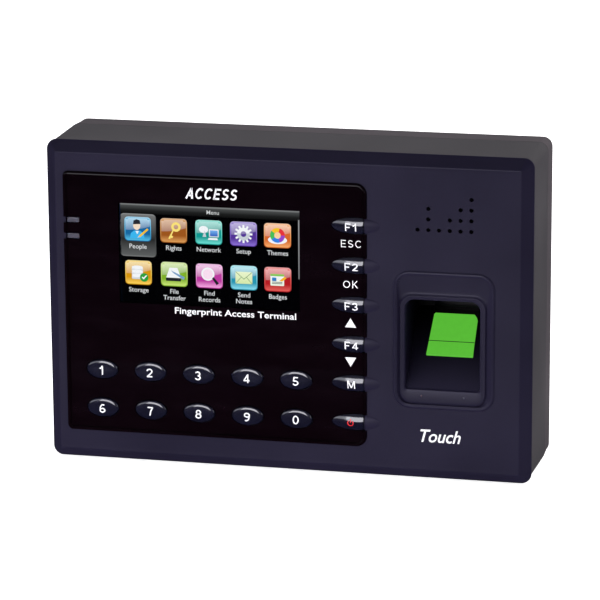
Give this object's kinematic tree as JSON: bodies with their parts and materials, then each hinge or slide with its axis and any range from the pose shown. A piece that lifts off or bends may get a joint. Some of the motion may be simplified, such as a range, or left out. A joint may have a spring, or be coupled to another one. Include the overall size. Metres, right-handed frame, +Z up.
{
  "type": "fingerprint scanner terminal",
  "caption": "Wall-mounted fingerprint terminal with a colour display under a gloss lens, sprung oval keys, a speaker grille and a sloping finger well with a lit optical window.",
  "frame": {"origin": "centre of the bounding box in x and y, at the lowest point of the terminal", "axes": "+X to the right of someone facing the terminal, along its width; the front faces -Y and the wall plate +Y; +Z up"},
  "size_m": [0.177, 0.0452, 0.1178],
  "materials": {
    "navy_plastic": "fine spark-eroded texture, matt",
    "grey_plastic": "fine spark-eroded texture, matt",
    "gloss_lens": "polished, printed black behind",
    "gloss_key": "polished black with printed legend",
    "frosted_pipe": "frosted, translucent",
    "screen": "polished display glass",
    "lit_glass": "polished optical glass, lit green from behind",
    "silicone": "moulded, matt",
    "circuit_board": "green solder resist",
    "plain_steel": "zinc plated sheet",
    "screw_steel": "plated",
    "speaker_metal": "pressed basket, paper cone",
    "black_plastic": "moulded, satin",
    "green_plastic": "moulded, satin",
    "battery_wrap": "heat-shrunk film",
    "flat_cable": "polyimide film",
    "foam": "open-cell foam"
  },
  "bodies": {
    "terminal": {"front_cover": "navy_plastic", "lens_panel": "gloss_lens", "light_pipe_upper": "frosted_pipe", "light_pipe_lower": "frosted_pipe", "indicator_board": "circuit_board", "keypad_mat": "silicone", "keypad_board": "circuit_board", "display_module": "screen", "display_bracket": "plain_steel", "reader_bezel": "navy_plastic", "reader_prism": "lit_glass", "reader_body": "black_plastic", "reader_board": "circuit_board", "reader_ribbon": "flat_cable", "speaker_gasket": "foam", "speaker": "speaker_metal", "main_housing": "grey_plastic", "rear_cover": "grey_plastic", "wall_plate": "plain_steel", "case_screw_1": "screw_steel", "case_screw_2": "screw_steel", "case_screw_3": "screw_steel", "case_screw_4": "screw_steel", "lock_screw": "screw_steel", "main_board": "circuit_board", "clock_battery": "plain_steel", "backup_battery": "battery_wrap", "network_jack": "black_plastic", "usb_socket": "plain_steel", "power_jack": "black_plastic", "terminal_block": "green_plastic", "tamper_switch": "black_plastic", "display_ribbon": "flat_cable", "keypad_ribbon": "flat_cable"},
    "key_1": {"key_1": "gloss_key"},
    "key_2": {"key_2": "gloss_key"},
    "key_3": {"key_3": "gloss_key"},
    "key_4": {"key_4": "gloss_key"},
    "key_5": {"key_5": "gloss_key"},
    "key_6": {"key_6": "gloss_key"},
    "key_7": {"key_7": "gloss_key"},
    "key_8": {"key_8": "gloss_key"},
    "key_9": {"key_9": "gloss_key"},
    "key_0": {"key_0": "gloss_key"},
    "key_f1": {"key_f1": "gloss_key"},
    "key_f2": {"key_f2": "gloss_key"},
    "key_f3": {"key_f3": "gloss_key"},
    "key_f4": {"key_f4": "gloss_key"},
    "key_menu": {"key_menu": "gloss_key"},
    "key_power": {"key_power": "gloss_key"},
    "tamper_plunger": {"tamper_plunger": "green_plastic"}
  },
  "joints": [
    {"name": "press_1", "type": "slide", "parent": "terminal", "child": "key_1", "axis": [0, 1, 0], "range_m": [0, 0.001], "stiffness_N_per_m": 400},
    {"name": "press_2", "type": "slide", "parent": "terminal", "child": "key_2", "axis": [0, 1, 0], "range_m": [0, 0.001], "stiffness_N_per_m": 400},
    {"name": "press_3", "type": "slide", "parent": "terminal", "child": "key_3", "axis": [0, 1, 0], "range_m": [0, 0.001], "stiffness_N_per_m": 400},
    {"name": "press_4", "type": "slide", "parent": "terminal", "child": "key_4", "axis": [0, 1, 0], "range_m": [0, 0.001], "stiffness_N_per_m": 400},
    {"name": "press_5", "type": "slide", "parent": "terminal", "child": "key_5", "axis": [0, 1, 0], "range_m": [0, 0.001], "stiffness_N_per_m": 400},
    {"name": "press_6", "type": "slide", "parent": "terminal", "child": "key_6", "axis": [0, 1, 0], "range_m": [0, 0.001], "stiffness_N_per_m": 400},
    {"name": "press_7", "type": "slide", "parent": "terminal", "child": "key_7", "axis": [0, 1, 0], "range_m": [0, 0.001], "stiffness_N_per_m": 400},
    {"name": "press_8", "type": "slide", "parent": "terminal", "child": "key_8", "axis": [0, 1, 0], "range_m": [0, 0.001], "stiffness_N_per_m": 400},
    {"name": "press_9", "type": "slide", "parent": "terminal", "child": "key_9", "axis": [0, 1, 0], "range_m": [0, 0.001], "stiffness_N_per_m": 400},
    {"name": "press_0", "type": "slide", "parent": "terminal", "child": "key_0", "axis": [0, 1, 0], "range_m": [0, 0.001], "stiffness_N_per_m": 400},
    {"name": "press_f1", "type": "slide", "parent": "terminal", "child": "key_f1", "axis": [0, 1, 0], "range_m": [0, 0.001], "stiffness_N_per_m": 400},
    {"name": "press_f2", "type": "slide", "parent": "terminal", "child": "key_f2", "axis": [0, 1, 0], "range_m": [0, 0.001], "stiffness_N_per_m": 400},
    {"name": "press_f3", "type": "slide", "parent": "terminal", "child": "key_f3", "axis": [0, 1, 0], "range_m": [0, 0.001], "stiffness_N_per_m": 400},
    {"name": "press_f4", "type": "slide", "parent": "terminal", "child": "key_f4", "axis": [0, 1, 0], "range_m": [0, 0.001], "stiffness_N_per_m": 400},
    {"name": "press_menu", "type": "slide", "parent": "terminal", "child": "key_menu", "axis": [0, 1, 0], "range_m": [0, 0.001], "stiffness_N_per_m": 400},
    {"name": "press_power", "type": "slide", "parent": "terminal", "child": "key_power", "axis": [0, 1, 0], "range_m": [0, 0.001], "stiffness_N_per_m": 400},
    {"name": "tamper_press", "type": "slide", "parent": "terminal", "child": "tamper_plunger", "axis": [0, -1, 0], "range_m": [0, 0.0015], "stiffness_N_per_m": 200}
  ]
}
